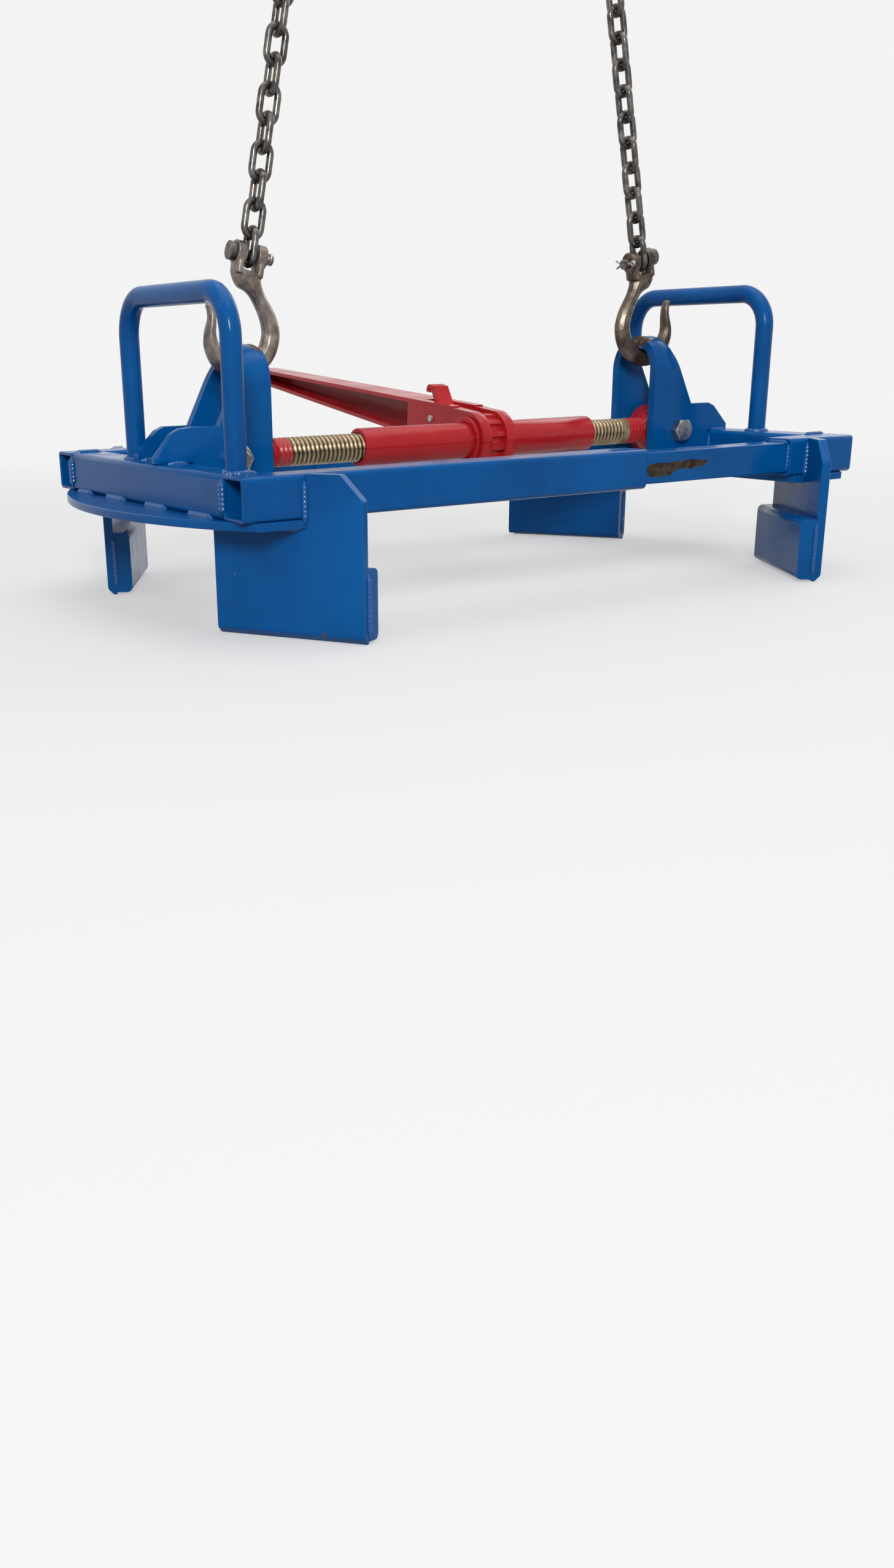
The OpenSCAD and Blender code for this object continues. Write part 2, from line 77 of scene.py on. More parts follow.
def makeCamera(s):
    heading, dip, roll = (math.radians(s[k]) for k in ("heading", "dip", "roll"))
    ahead = Vector((math.sin(heading) * math.cos(dip), math.cos(heading) * math.cos(dip), -math.sin(dip)))
    right = Vector((math.cos(heading), -math.sin(heading), 0.0))
    up = right.cross(ahead)
    turnedRight = right * math.cos(roll) + up * math.sin(roll)
    turnedUp = up * math.cos(roll) - right * math.sin(roll)
    wide, tall = s["frame"]
    data = bpy.data.cameras.new("photoCamera")
    data.sensor_fit = "AUTO"
    data.sensor_width = s["sensor"]
    data.lens = s["focal"] / tall * s["sensor"]
    data.shift_x = (wide / 2 - s["axisPixel"][0]) / tall
    data.shift_y = (s["axisPixel"][1] - tall / 2) / tall
    data.clip_start, data.clip_end = s["clip"]
    cam = bpy.data.objects.new("photoCamera", data)
    turn = Matrix((turnedRight, turnedUp, -ahead)).transposed()
    cam.matrix_world = Matrix.Translation(s["place"]) @ turn.to_4x4()
    bpy.context.scene.collection.objects.link(cam)
    bpy.context.scene.camera = cam


makeCamera(cameraSettings)
print("camera set")


# finishes
def startMaterial(name):
    mat = bpy.data.materials.new(name)
    mat.use_nodes = True
    tree = mat.node_tree
    tree.nodes.clear()
    out = tree.nodes.new("ShaderNodeOutputMaterial")
    shader = tree.nodes.new("ShaderNodeBsdfPrincipled")
    tree.links.new(shader.outputs["BSDF"], out.inputs["Surface"])
    coords = tree.nodes.new("ShaderNodeTexCoord")
    return mat, tree, shader, coords.outputs["Object"]


def noise(tree, where, scale, detail=3.0, rough=0.5, distortion=0.0):
    n = tree.nodes.new("ShaderNodeTexNoise")
    n.inputs["Scale"].default_value = scale
    n.inputs["Detail"].default_value = detail
    n.inputs["Roughness"].default_value = rough
    n.inputs["Distortion"].default_value = distortion
    tree.links.new(where, n.inputs["Vector"])
    return n.outputs["Fac"]


def ramp(tree, value, low, high, a=0.0, b=1.0):
    r = tree.nodes.new("ShaderNodeMapRange")
    r.inputs["From Min"].default_value = low
    r.inputs["From Max"].default_value = high
    r.inputs["To Min"].default_value = a
    r.inputs["To Max"].default_value = b
    r.clamp = True
    tree.links.new(value, r.inputs["Value"])
    return r.outputs["Result"]


def mixColour(tree, fac, a, b):
    m = tree.nodes.new("ShaderNodeMix")
    m.data_type = "RGBA"
    tree.links.new(fac, m.inputs["Factor"])
    for socket, value in ((m.inputs["A"], a), (m.inputs["B"], b)):
        if isinstance(value, tuple):
            socket.default_value = (*value, 1.0)
        else:
            tree.links.new(value, socket)
    return m.outputs["Result"]


def mixValue(tree, fac, a, b):
    m = tree.nodes.new("ShaderNodeMix")
    m.data_type = "FLOAT"
    tree.links.new(fac, m.inputs["Factor"])
    for socket, value in ((m.inputs["A"], a), (m.inputs["B"], b)):
        if isinstance(value, float):
            socket.default_value = value
        else:
            tree.links.new(value, socket)
    return m.outputs["Result"]


def math2(tree, kind, a, b):
    m = tree.nodes.new("ShaderNodeMath")
    m.operation = kind
    for socket, value in ((m.inputs[0], a), (m.inputs[1], b)):
        if isinstance(value, (int, float)):
            socket.default_value = value
        else:
            tree.links.new(value, socket)
    return m.outputs["Value"]


# 1 where the camera, a mirror-like surface or glass looks straight at what is shaded
def seenDirectly(tree):
    path = tree.nodes.new("ShaderNodeLightPath")
    seen = math2(tree, "MAXIMUM", path.outputs["Is Camera Ray"], path.outputs["Is Glossy Ray"])
    return math2(tree, "MAXIMUM", seen, path.outputs["Is Transmission Ray"])


def bump(tree, shader, height, strength, distance):
    b = tree.nodes.new("ShaderNodeBump")
    b.inputs["Strength"].default_value = strength
    b.inputs["Distance"].default_value = distance
    tree.links.new(height, b.inputs["Height"])
    tree.links.new(b.outputs["Normal"], shader.inputs["Normal"])


# grain of the paint: noise scales per metre, and the relief and gloss that all paint here shares
paintGrain = {
    "cloud": 11.0, "dust": 46.0, "chips": 150.0, "rust": 210.0, "gloss": 24.0, "peel": 420.0, "waves": 70.0,
    "chipRim": 0.015, "peelShare": 0.5, "chipDepth": 0.6, "bump": 0.16, "depth": 0.0006,
    "smoother": 0.06, "rougher": 0.1, "bareRough": 0.6, "coatRough": 0.12,
}


# sprayed gloss paint over steel, with faint runs, dust and a few chips down to the metal
def paint(name, s, g=paintGrain):
    mat, tree, shader, where = startMaterial(name)
    cloud = ramp(tree, noise(tree, where, g["cloud"], 4.0, 0.6), 0.35, 0.7)
    colour = mixColour(tree, cloud, s["shade"], s["tint"])
    dust = ramp(tree, noise(tree, where, g["dust"], 6.0, 0.7, 0.4), 0.56, 0.8, 0.0, s["dust"])
    colour = mixColour(tree, dust, colour, s["dustTint"])
    flaked = noise(tree, where, g["chips"], 5.0, 0.62, 0.6)
    chips = ramp(tree, flaked, s["chipFrom"], s["chipFrom"] + g["chipRim"])
    if "wornSpots" in s:
        chips = math2(tree, "MAXIMUM", chips, wornSpots(tree, where, s["wornSpots"]))
    rusted = ramp(tree, noise(tree, where, g["rust"], 4.0), 0.4, 0.62)
    bare = mixColour(tree, rusted, s["metal"], s["rust"])
    colour = mixColour(tree, chips, colour, bare)
    tree.links.new(colour, shader.inputs["Base Color"])
    gloss = ramp(tree, noise(tree, where, g["gloss"], 4.0), 0.3, 0.75,
                 s["rough"] - g["smoother"], s["rough"] + g["rougher"])
    tree.links.new(mixValue(tree, chips, gloss, g["bareRough"]), shader.inputs["Roughness"])
    peel = math2(tree, "MULTIPLY", noise(tree, where, g["peel"], 2.0), g["peelShare"])
    skin = math2(tree, "ADD", peel, noise(tree, where, g["waves"], 3.0))
    height = math2(tree, "SUBTRACT", skin, math2(tree, "MULTIPLY", chips, g["chipDepth"]))
    bump(tree, shader, height, g["bump"], g["depth"])
    shader.inputs["Specular IOR Level"].default_value = s["specular"]
    shader.inputs["Coat Weight"].default_value = s["coat"]
    shader.inputs["Coat Roughness"].default_value = g["coatRough"]
    return mat


wornRim = {"scale": 95.0, "ragged": 1.1, "from": 1.42, "to": 1.5}


# rounded spots where the paint is rubbed away, each a centre and half sizes, with a ragged rim
def wornSpots(tree, where, spots, rim=wornRim):
    ragged = noise(tree, where, rim["scale"], 5.0, 0.6)
    total = None
    for centre, half in spots:
        shifted = tree.nodes.new("ShaderNodeVectorMath")
        shifted.operation = "SUBTRACT"
        shifted.inputs[1].default_value = centre
        tree.links.new(where, shifted.inputs[0])
        scaled = tree.nodes.new("ShaderNodeVectorMath")
        scaled.operation = "DIVIDE"
        scaled.inputs[1].default_value = half
        tree.links.new(shifted.outputs["Vector"], scaled.inputs[0])
        size = tree.nodes.new("ShaderNodeVectorMath")
        size.operation = "LENGTH"
        tree.links.new(scaled.outputs["Vector"], size.inputs[0])
        reach = math2(tree, "ADD", size.outputs["Value"], math2(tree, "MULTIPLY", ragged, rim["ragged"]))
        spot = ramp(tree, reach, rim["from"], rim["to"], 1.0, 0.0)
        total = spot if total is None else math2(tree, "MAXIMUM", total, spot)
    return total


# 0 at a thread's root and 1 at its crest, from the distance to the screw's axis; it places the painted shade in
# the thread roots
def threadDepth(tree, where, s):
    across = tree.nodes.new("ShaderNodeVectorMath")
    across.operation = "MULTIPLY_ADD"
    across.inputs[1].default_value = (0.0, 1.0, 1.0)
    across.inputs[2].default_value = (0.0, 0.0, -s["axisZ"])
    tree.links.new(where, across.inputs[0])
    radius = tree.nodes.new("ShaderNodeVectorMath")
    radius.operation = "LENGTH"
    tree.links.new(across.outputs["Vector"], radius.inputs[0])
    return ramp(tree, radius.outputs["Value"], s["root"], s["crest"])


# paint that drifted over the outer end of the left screw, with a ragged limit
def overspray(tree, where, s):
    parts = tree.nodes.new("ShaderNodeSeparateXYZ")
    tree.links.new(where, parts.inputs[0])
    outward = math2(tree, "MULTIPLY", parts.outputs["X"], -1.0)
    ragged = math2(tree, "MULTIPLY", noise(tree, where, 160.0, 4.0, 0.6), s["ragged"])
    reach = math2(tree, "ADD", outward, ragged)
    return ramp(tree, reach, s["limit"], s["limit"] + s["soft"], 0.0, s["cover"])


# grain of steel, as shares of the mottling's noise scale, and the spread of its gloss
steelGrain = {"grime": 0.45, "gloss": 1.7, "pits": 3.0, "fine": 11.0, "fineShare": 0.3, "depth": 0.0007,
              "smoother": 0.1, "rougher": 0.14}


# bare or plated steel with mottling, grime and fine pits, and painted shade in thread roots where asked
def steel(name, s, g=steelGrain):
    mat, tree, shader, where = startMaterial(name)
    mottle = ramp(tree, noise(tree, where, s["mottle"], 5.0, 0.6, 0.3), 0.36, 0.68)
    colour = mixColour(tree, mottle, s["dark"], s["light"])
    grime = ramp(tree, noise(tree, where, s["mottle"] * g["grime"], 4.0, 0.6), 0.52, 0.72, 0.0, s["grime"])
    colour = mixColour(tree, grime, colour, s["grimeAndRootShade"])
    # painted shade: thread roots darkened toward the grime colour, fading out toward the crests
    if "paintedRootShade" in s:
        colour = mixColour(tree, threadDepth(tree, where, s["paintedRootShade"]), s["grimeAndRootShade"], colour)
    if "spray" in s:
        sprayed = overspray(tree, where, s["spray"])
        colour = mixColour(tree, sprayed, colour, s["spray"]["tint"])
        tree.links.new(mixValue(tree, sprayed, s["metallic"], 0.0), shader.inputs["Metallic"])
    else:
        shader.inputs["Metallic"].default_value = s["metallic"]
    tree.links.new(colour, shader.inputs["Base Color"])
    gloss = ramp(tree, noise(tree, where, s["mottle"] * g["gloss"], 4.0), 0.3, 0.7,
                 s["rough"] - g["smoother"], s["rough"] + g["rougher"])
    tree.links.new(gloss, shader.inputs["Roughness"])
    fine = math2(tree, "MULTIPLY", noise(tree, where, s["mottle"] * g["fine"], 2.0), g["fineShare"])
    pits = math2(tree, "ADD", noise(tree, where, s["mottle"] * g["pits"], 4.0), fine)
    bump(tree, shader, pits, s["bump"], g["depth"])
    return mat


blueSettings = {
    "shade": (0.000, 0.062, 0.225), "tint": (0.000, 0.088, 0.300), "dust": 0.03,
    "dustTint": (0.10, 0.17, 0.30), "metal": (0.20, 0.17, 0.15), "rust": (0.10, 0.042, 0.020),
    "chipFrom": 0.715, "rough": 0.20, "coat": 0.04, "specular": 0.10,
}
redSettings = {
    "shade": (0.32, 0.009, 0.013), "tint": (0.47, 0.016, 0.021), "dust": 0.03,
    "dustTint": (0.40, 0.22, 0.20), "metal": (0.24, 0.22, 0.20), "rust": (0.13, 0.06, 0.04),
    "chipFrom": 0.70, "rough": 0.22, "coat": 0.08, "specular": 0.18,
}
# the bar that has rubbed in its tube, and the knocked side of one eye
wornBar = dict(blueSettings, metal=(0.055, 0.038, 0.027), rust=(0.018, 0.010, 0.007), wornSpots=[
    ((0.081, -0.175, 0.0205), (0.021, 0.02, 0.0062)), ((0.110, -0.175, 0.0235), (0.029, 0.02, 0.0042))])
axisZ = sum(corner[2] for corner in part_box("left_screw")) / 2
boltAt = sum(corner[0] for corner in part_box("right_lug_bolt")) / 2
knockedEye = dict(redSettings, metal=(0.25, 0.195, 0.12), rust=(0.14, 0.105, 0.065), wornSpots=[
    ((boltAt - 0.0165, -0.0172, axisZ + 0.002), (0.005, 0.007, 0.006)),
    ((boltAt - 0.0520, 0.0, axisZ), (0.0088, 0.05, 0.05))])
glossyWeld = dict(blueSettings, specular=0.4, rough=0.16, coat=0.1)
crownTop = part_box("left_lug")[1][2]


# paint rubbed off a lug's crown, where the hook bears
def rubbedLug(sign):
    return dict(blueSettings, metal=(0.12, 0.085, 0.065), rust=(0.05, 0.032, 0.024), wornSpots=[
        ((sign * 0.2085, -0.006, crownTop - 0.004), (0.006, 0.012, 0.007)),
        ((sign * 0.2220, 0.004, crownTop - 0.002), (0.008, 0.010, 0.004))])


finishes = {
    "blue_paint": paint("bluePaint", blueSettings),
    "red_paint": paint("redPaint", redSettings),
    "yellow_zinc": steel("yellowZinc", {
        "dark": (0.31, 0.225, 0.13), "light": (0.45, 0.35, 0.21), "grime": 0.25,
        "grimeAndRootShade": (0.055, 0.042, 0.03), "metallic": 0.9, "mottle": 90.0, "rough": 0.28, "bump": 0.02,
        # painted shade in the thread roots, from the root radius out to the crest radius
        "paintedRootShade": {"axisZ": axisZ, "root": 0.0105, "crest": 0.0116},
        "spray": {"limit": 0.1795, "soft": 0.002, "ragged": 0.007, "cover": 0.94,
                  "tint": (0.40, 0.014, 0.018)}}),
    "zinc_plate": steel("zincPlate", {
        "dark": (0.25, 0.24, 0.23), "light": (0.50, 0.49, 0.47), "grime": 0.4,
        "grimeAndRootShade": (0.15, 0.13, 0.11), "metallic": 0.95, "mottle": 120.0, "rough": 0.28, "bump": 0.08}),
    "forged_steel": steel("forgedSteel", {
        "dark": (0.115, 0.095, 0.082), "light": (0.31, 0.265, 0.230), "grime": 0.55,
        "grimeAndRootShade": (0.15, 0.092, 0.058), "metallic": 0.75, "mottle": 95.0, "rough": 0.38, "bump": 0.35}),
    "chain_steel": steel("chainSteel", {
        "dark": (0.045, 0.041, 0.038), "light": (0.20, 0.185, 0.170), "grime": 0.5,
        "grimeAndRootShade": (0.08, 0.050, 0.034), "metallic": 0.85, "mottle": 110.0, "rough": 0.30, "bump": 0.16}),
}
ownFinish = {
    "left_lug": paint("leftLugPaint", rubbedLug(-1)),
    "right_lug": paint("rightLugPaint", rubbedLug(1)),
    "right_inner_bar": paint("wornBluePaint", wornBar),
    "right_eye": paint("knockedRedPaint", knockedEye),
    # painted shade: the right hook takes a darker, browner copy of the forged steel for the shade it sits in
    "right_hook": steel("forgingPaintedShade", {
        "dark": (0.055, 0.042, 0.032), "light": (0.20, 0.160, 0.125), "grime": 0.55,
        "grimeAndRootShade": (0.09, 0.054, 0.032), "metallic": 0.80, "mottle": 95.0, "rough": 0.34, "bump": 0.35}),
    "left_clevis_pin": finishes["chain_steel"],
    "right_clevis_pin": finishes["chain_steel"],
}
weldPaint = paint("weldPaint", glossyWeld)
print("finishes:", len(finishes) + len(ownFinish) + 1)


# CAD solids keep their shape and take a finish and a small edge radius
edgeSettings = {
    "radius": {"blue_paint": 0.0011, "red_paint": 0.0009, "zinc_plate": 0.0005, "forged_steel": 0.0010,
               "yellow_zinc": 0.0005, "chain_steel": 0.0004},
    "angle": 35.0,
    "segments": 2,
    "join": 0.00001,
    "unbevelled": ("chain", "end_link", "grab_handle"),    # round bar, with no edge to soften
}
for sub in frame["record"]["subparts"]:
    solid = nodes[sub["node"]]
    solid.data.materials.clear()
    solid.data.materials.append(ownFinish.get(sub["node"], finishes[sub["material_slot"]]))
    if any(k in sub["node"] for k in edgeSettings["unbevelled"]):
        continue
    weld = solid.modifiers.new("joinFaces", "WELD")
    weld.merge_threshold = edgeSettings["join"]
    soften = solid.modifiers.new("softEdge", "BEVEL")
    soften.width = edgeSettings["radius"][sub["material_slot"]]
    soften.segments = edgeSettings["segments"]
    soften.limit_method = "ANGLE"
    soften.angle_limit = math.radians(edgeSettings["angle"])
    soften.harden_normals = False
print("solids finished")


def addPiece(name, bm, body, slot, finish=None):
    mesh = bpy.data.meshes.new(name)
    bm.to_mesh(mesh)
    bm.free()
    for poly in mesh.polygons:
        poly.use_smooth = True
    mesh.materials.append(finish or finishes[slot])
    piece = bpy.data.objects.new(name, mesh)
    bpy.context.scene.collection.objects.link(piece)
    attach(piece, body)
    return piece


# adds a small closed shape to a piece, with its faces turned outward
def gather(whole, part):
    bmesh.ops.recalc_face_normals(part, faces=part.faces)
    carrier = bpy.data.meshes.new("carrier")
    part.to_mesh(carrier)
    part.free()
    whole.from_mesh(carrier)
    bpy.data.meshes.remove(carrier)


# rolled threads on the two screws, one left-handed and one right-handed, which run on into the eyes
threadSettings = {"pitch": 0.004233, "crest": 0.01195, "root": 0.0104, "flanks": (0.10, 0.42, 0.58, 0.90),
                  "stepsPerTurn": 30, "eyeTurns": 6, "coreGap": 0.0001, "endGap": 0.0005, "join": 0.00002}


def cutThread(bm, start, turns, hand, coreFrom, coreTo, s=threadSettings):
    p, steps = s["pitch"], s["stepsPerTurn"]
    rise, top, fall, foot = (share * p for share in s["flanks"])
    outline = [(0.0, s["root"]), (rise, s["root"]), (top, s["crest"]), (fall, s["crest"]),
               (foot, s["root"]), (p, s["root"])]
    verts = [bm.verts.new((start + x, 0.0, axisZ + r)) for x, r in outline]
    edges = [bm.edges.new(pair) for pair in zip(verts, verts[1:])]
    bmesh.ops.spin(bm, geom=verts + edges, cent=(0, 0, axisZ), axis=(1, 0, 0), dvec=(p / steps, 0, 0),
                   angle=hand * 2 * math.pi * turns, steps=steps * turns, use_merge=False)
    bmesh.ops.remove_doubles(bm, verts=bm.verts, dist=s["join"])
    place = Matrix.Translation(((coreFrom + coreTo) / 2, 0, axisZ)) @ Matrix.Rotation(math.pi / 2, 4, "Y")
    core = s["root"] - s["coreGap"]
    bmesh.ops.create_cone(bm, cap_ends=True, segments=40, radius1=core, radius2=core,
                          depth=coreTo - coreFrom, matrix=place)


# ring round the lug bolt and the forged flare from it to the thread, as distances from the bolt and radii
eyeSettings = {
    "ring": [(0.00685, -0.019), (0.0213, -0.019), (0.0225, -0.0178), (0.0225, 0.0178), (0.0213, 0.019),
             (0.00685, 0.019)],
    "flare": [(0.0275, 0.0), (0.0275, 0.0112), (0.0255, 0.0126), (0.0235, 0.0139), (0.0215, 0.0156),
              (0.0195, 0.0174), (0.0172, 0.0185), (0.0120, 0.0187), (0.0120, 0.0)],
    "core": (0.050, 0.020), "ringSteps": 64, "flareSteps": 48, "sharp": 40.0,
}


def makeEye(side, sign, hand, threadStart):
    s, k = eyeSettings, threadSettings
    low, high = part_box(side + "_lug_bolt")
    boltX = (low[0] + high[0]) / 2
    bm = bmesh.new()
    coreFrom, coreTo = sorted(boltX - sign * reach for reach in s["core"])
    cutThread(bm, threadStart, k["eyeTurns"], hand, coreFrom, coreTo)
    ring = bmesh.new()
    loop = [ring.verts.new((boltX + r, y, axisZ)) for r, y in s["ring"]]
    edges = [ring.edges.new(pair) for pair in zip(loop, loop[1:] + loop[:1])]
    bmesh.ops.spin(ring, geom=loop + edges, cent=(boltX, 0, axisZ), axis=(0, 1, 0), angle=2 * math.pi,
                   steps=s["ringSteps"], use_merge=True)
    gather(bm, ring)
    flare = bmesh.new()
    line = [flare.verts.new((boltX - sign * d, 0.0, axisZ + r)) for d, r in s["flare"]]
    edges = [flare.edges.new(pair) for pair in zip(line, line[1:])]
    bmesh.ops.spin(flare, geom=line + edges, cent=(0, 0, axisZ), axis=(1, 0, 0), angle=2 * math.pi,
                   steps=s["flareSteps"], use_merge=True)
    bmesh.ops.remove_doubles(flare, verts=flare.verts, dist=k["join"])
    gather(bm, flare)
    piece = addPiece(side + "ThreadedEye", bm, side + "_carriage", "red_paint", ownFinish.get(side + "_eye"))
    piece.data.set_sharp_from_angle(angle=math.radians(s["sharp"]))
    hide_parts(side + "_eye")


def makeScrew(side, sign, hand):
    k = threadSettings
    low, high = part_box(side + "_screw")
    start, end = low[0] + k["endGap"], high[0] - k["endGap"]
    turns = int((end - start) / k["pitch"]) - 1
    bm = bmesh.new()
    cutThread(bm, start, turns, hand, start, end)
    bmesh.ops.recalc_face_normals(bm, faces=bm.faces)
    piece = addPiece(side + "ScrewThread", bm, side + "_carriage", "yellow_zinc")
    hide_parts(side + "_screw")
    further = turns if sign > 0 else -k["eyeTurns"]
    makeEye(side, sign, hand, start + further * k["pitch"])


# the left screw is right-handed, so that a positive turn of the barrel opens the lifter
makeScrew("left", -1, 1)
makeScrew("right", 1, -1)
print("threads and eyes made")


# lug bolts and nuts, with turned chamfers on their hexagons
boltSettings = {"flats": 0.01905, "head": 0.008, "nut": 0.011, "past": 0.004, "shank": 0.00635,
                "tip": 0.0009, "chamferCuts": 24, "chamferAt": 0.475, "chamferSlope": (0.5, 0.866),
                "sharp": 20.0}


def hexagon(bm, boltX, near, far, chamferAt, s=boltSettings):
    part = bmesh.new()
    middle = Matrix.Translation((boltX, (near + far) / 2, axisZ)) @ Matrix.Rotation(math.pi / 2, 4, "X")
    radius = s["flats"] / 2 / math.cos(math.pi / 6)
    bmesh.ops.create_cone(part, cap_ends=True, segments=6, radius1=radius, radius2=radius,
                          depth=abs(far - near), matrix=middle @ Matrix.Rotation(math.pi / 6, 4, "Z"))
    across, along = s["chamferSlope"]
    for end in chamferAt:
        outward = 1.0 if end > (near + far) / 2 else -1.0
        for k in range(s["chamferCuts"]):
            angle = 2 * math.pi * k / s["chamferCuts"]
            spoke = Vector((math.cos(angle), 0.0, math.sin(angle)))
            place = Vector((boltX, end, axisZ)) + spoke * s["flats"] * s["chamferAt"]
            slope = spoke * across + Vector((0, outward * along, 0))
            bmesh.ops.bisect_plane(part, geom=part.verts[:] + part.edges[:] + part.faces[:], dist=0.000001,
                                   plane_co=place, plane_no=slope, clear_outer=True)
            bmesh.ops.holes_fill(part, edges=[e for e in part.edges if e.is_boundary], sides=0)
    gather(bm, part)


def shank(bm, boltX, near, far, s=boltSettings):
    part = bmesh.new()
    place = Matrix.Translation((boltX, (near + far) / 2, axisZ)) @ Matrix.Rotation(math.pi / 2, 4, "X")
    bmesh.ops.create_cone(part, cap_ends=True, segments=40, radius1=s["shank"], radius2=s["shank"],
                          depth=abs(far - near), matrix=place)
    rims = [e for e in part.edges if e.calc_face_angle(0.0) > 1.0]
    bmesh.ops.bevel(part, geom=rims, offset=s["tip"], offset_type="OFFSET", segments=1, profile=0.5,
                    affect="EDGES", material=-1)
    gather(bm, part)


def makeBolt(side, sign):
    s = boltSettings
    low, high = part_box(side + "_lug_bolt")
    boltX = (low[0] + high[0]) / 2
    headEnd, tailEnd = (high[1], low[1]) if sign < 0 else (low[1], high[1])
    facing = 1.0 if headEnd > tailEnd else -1.0
    bolt = bmesh.new()
    hexagon(bolt, boltX, headEnd - facing * s["head"], headEnd, [headEnd])
    shank(bolt, boltX, headEnd - facing * s["head"] * 0.5, tailEnd)
    piece = addPiece(side + "HexBolt", bolt, side + "_carriage", "zinc_plate")
    piece.data.set_sharp_from_angle(angle=math.radians(s["sharp"]))
    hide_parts(side + "_lug_bolt")
    nut = bmesh.new()
    nutFar = tailEnd + facing * s["past"]
    hexagon(nut, boltX, nutFar + facing * s["nut"], nutFar, [nutFar])
    piece = addPiece(side + "HexNut", nut, side + "_carriage", "zinc_plate")
    piece.data.set_sharp_from_angle(angle=math.radians(s["sharp"]))
    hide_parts(side + "_lug_nut")


makeBolt("left", -1)
makeBolt("right", 1)
print("bolts made")


# heel on the lug's nearer leg, as X and Z of the left one; it stands on the beam and hides the eye
heelSettings = {
    "outline": [(-0.2440, 0.0380), (-0.3105, 0.0380), (-0.3105, 0.0430), (-0.2960, 0.0600),
                (-0.2880, 0.0640), (-0.2780, 0.0650), (-0.2460, 0.0650)],
    "from": -0.0299, "to": -0.0221, "soft": 0.0011, "sharp": 50.0,
}


def makeHeel(side, s=heelSettings):
    bm = bmesh.new()
    verts = [bm.verts.new((x, s["from"], z)) for x, z in s["outline"]]
    face = bmesh.ops.contextual_create(bm, geom=verts)["faces"]
    grown = bmesh.ops.extrude_face_region(bm, geom=face)
    moved = [g for g in grown["geom"] if isinstance(g, bmesh.types.BMVert)]
    bmesh.ops.translate(bm, vec=(0, s["to"] - s["from"], 0), verts=moved)
    bmesh.ops.recalc_face_normals(bm, faces=bm.faces)
    bmesh.ops.bevel(bm, geom=bm.edges[:], offset=s["soft"], offset_type="OFFSET", segments=2, profile=0.5,
                    affect="EDGES", material=-1)
    if side == "right":
        bmesh.ops.rotate(bm, cent=(0, 0, 0), matrix=Matrix.Rotation(math.pi, 3, "Z"), verts=bm.verts)
    piece = addPiece(side + "NearHeel", bm, side + "_carriage", "blue_paint")
    piece.data.set_sharp_from_angle(angle=math.radians(s["sharp"]))


makeHeel("left")
makeHeel("right")
print("heels made")


# weld beads, each a rippled tube half sunk in the seam that it fills
weldSettings = {"ring": 10, "turnSteps": 72, "step": 0.0007, "dime": 0.0034, "swell": 0.16, "taper": 0.005,
                "tip": 0.15, "grip": 0.0056, "gripGap": 0.0005}


def dimple(phase, s):
    return 1.0 - s["swell"] + s["swell"] * math.sin(math.pi * phase)


def ripple(distance, length, s):
    ends = min(1.0, s["tip"] + min(distance, length - distance) / s["taper"])
    return ends * dimple((distance % s["dime"]) / s["dime"], s)


def weldLine(whole, start, end, wide, s=weldSettings):
    start, end = Vector(start), Vector(end)
    length = (end - start).length
    along = (end - start) / length
    steps = max(8, int(length / s["step"]))
    place = Matrix.Translation(start) @ along.to_track_quat("Z", "Y").to_matrix().to_4x4()
    bm = bmesh.new()
    bmesh.ops.create_circle(bm, cap_ends=False, segments=s["ring"], radius=wide / 2, matrix=place)
    first = bm.edges[:]
    made = bmesh.ops.spin(bm, geom=bm.verts[:] + first, cent=start, axis=along,
                          dvec=along * (length / steps), angle=0.0, steps=steps)
    last = [g for g in made["geom_last"] if isinstance(g, bmesh.types.BMEdge)]
    for v in bm.verts:
        distance = (v.co - start).dot(along)
        middle = start + along * distance
        v.co = middle + (v.co - middle) * ripple(distance, length, s)
    for rim in (first, last):
        bmesh.ops.contextual_create(bm, geom=rim)
    gather(whole, bm)


def weldRing(whole, centre, radius, wide, s=weldSettings):
    centre = Vector(centre)
    place = Matrix.Translation(centre + Vector((radius, 0, 0))) @ Matrix.Rotation(math.pi / 2, 4, "X")
    bm = bmesh.new()
    bmesh.ops.create_circle(bm, cap_ends=False, segments=s["ring"], radius=wide / 2, matrix=place)
    bmesh.ops.spin(bm, geom=bm.verts[:] + bm.edges[:], cent=centre, axis=(0, 0, 1), angle=2 * math.pi,
                   steps=s["turnSteps"], use_merge=True)
    dimes = round(2 * math.pi * radius / s["dime"])
    for v in bm.verts:
        out = Vector((v.co.x - centre.x, v.co.y - centre.y, 0))
        middle = centre + out.normalized() * radius
        phase = math.atan2(out.y, out.x) / (2 * math.pi) * dimes % 1.0
        v.co = middle + (v.co - middle) * dimple(phase, s)
    gather(whole, bm)


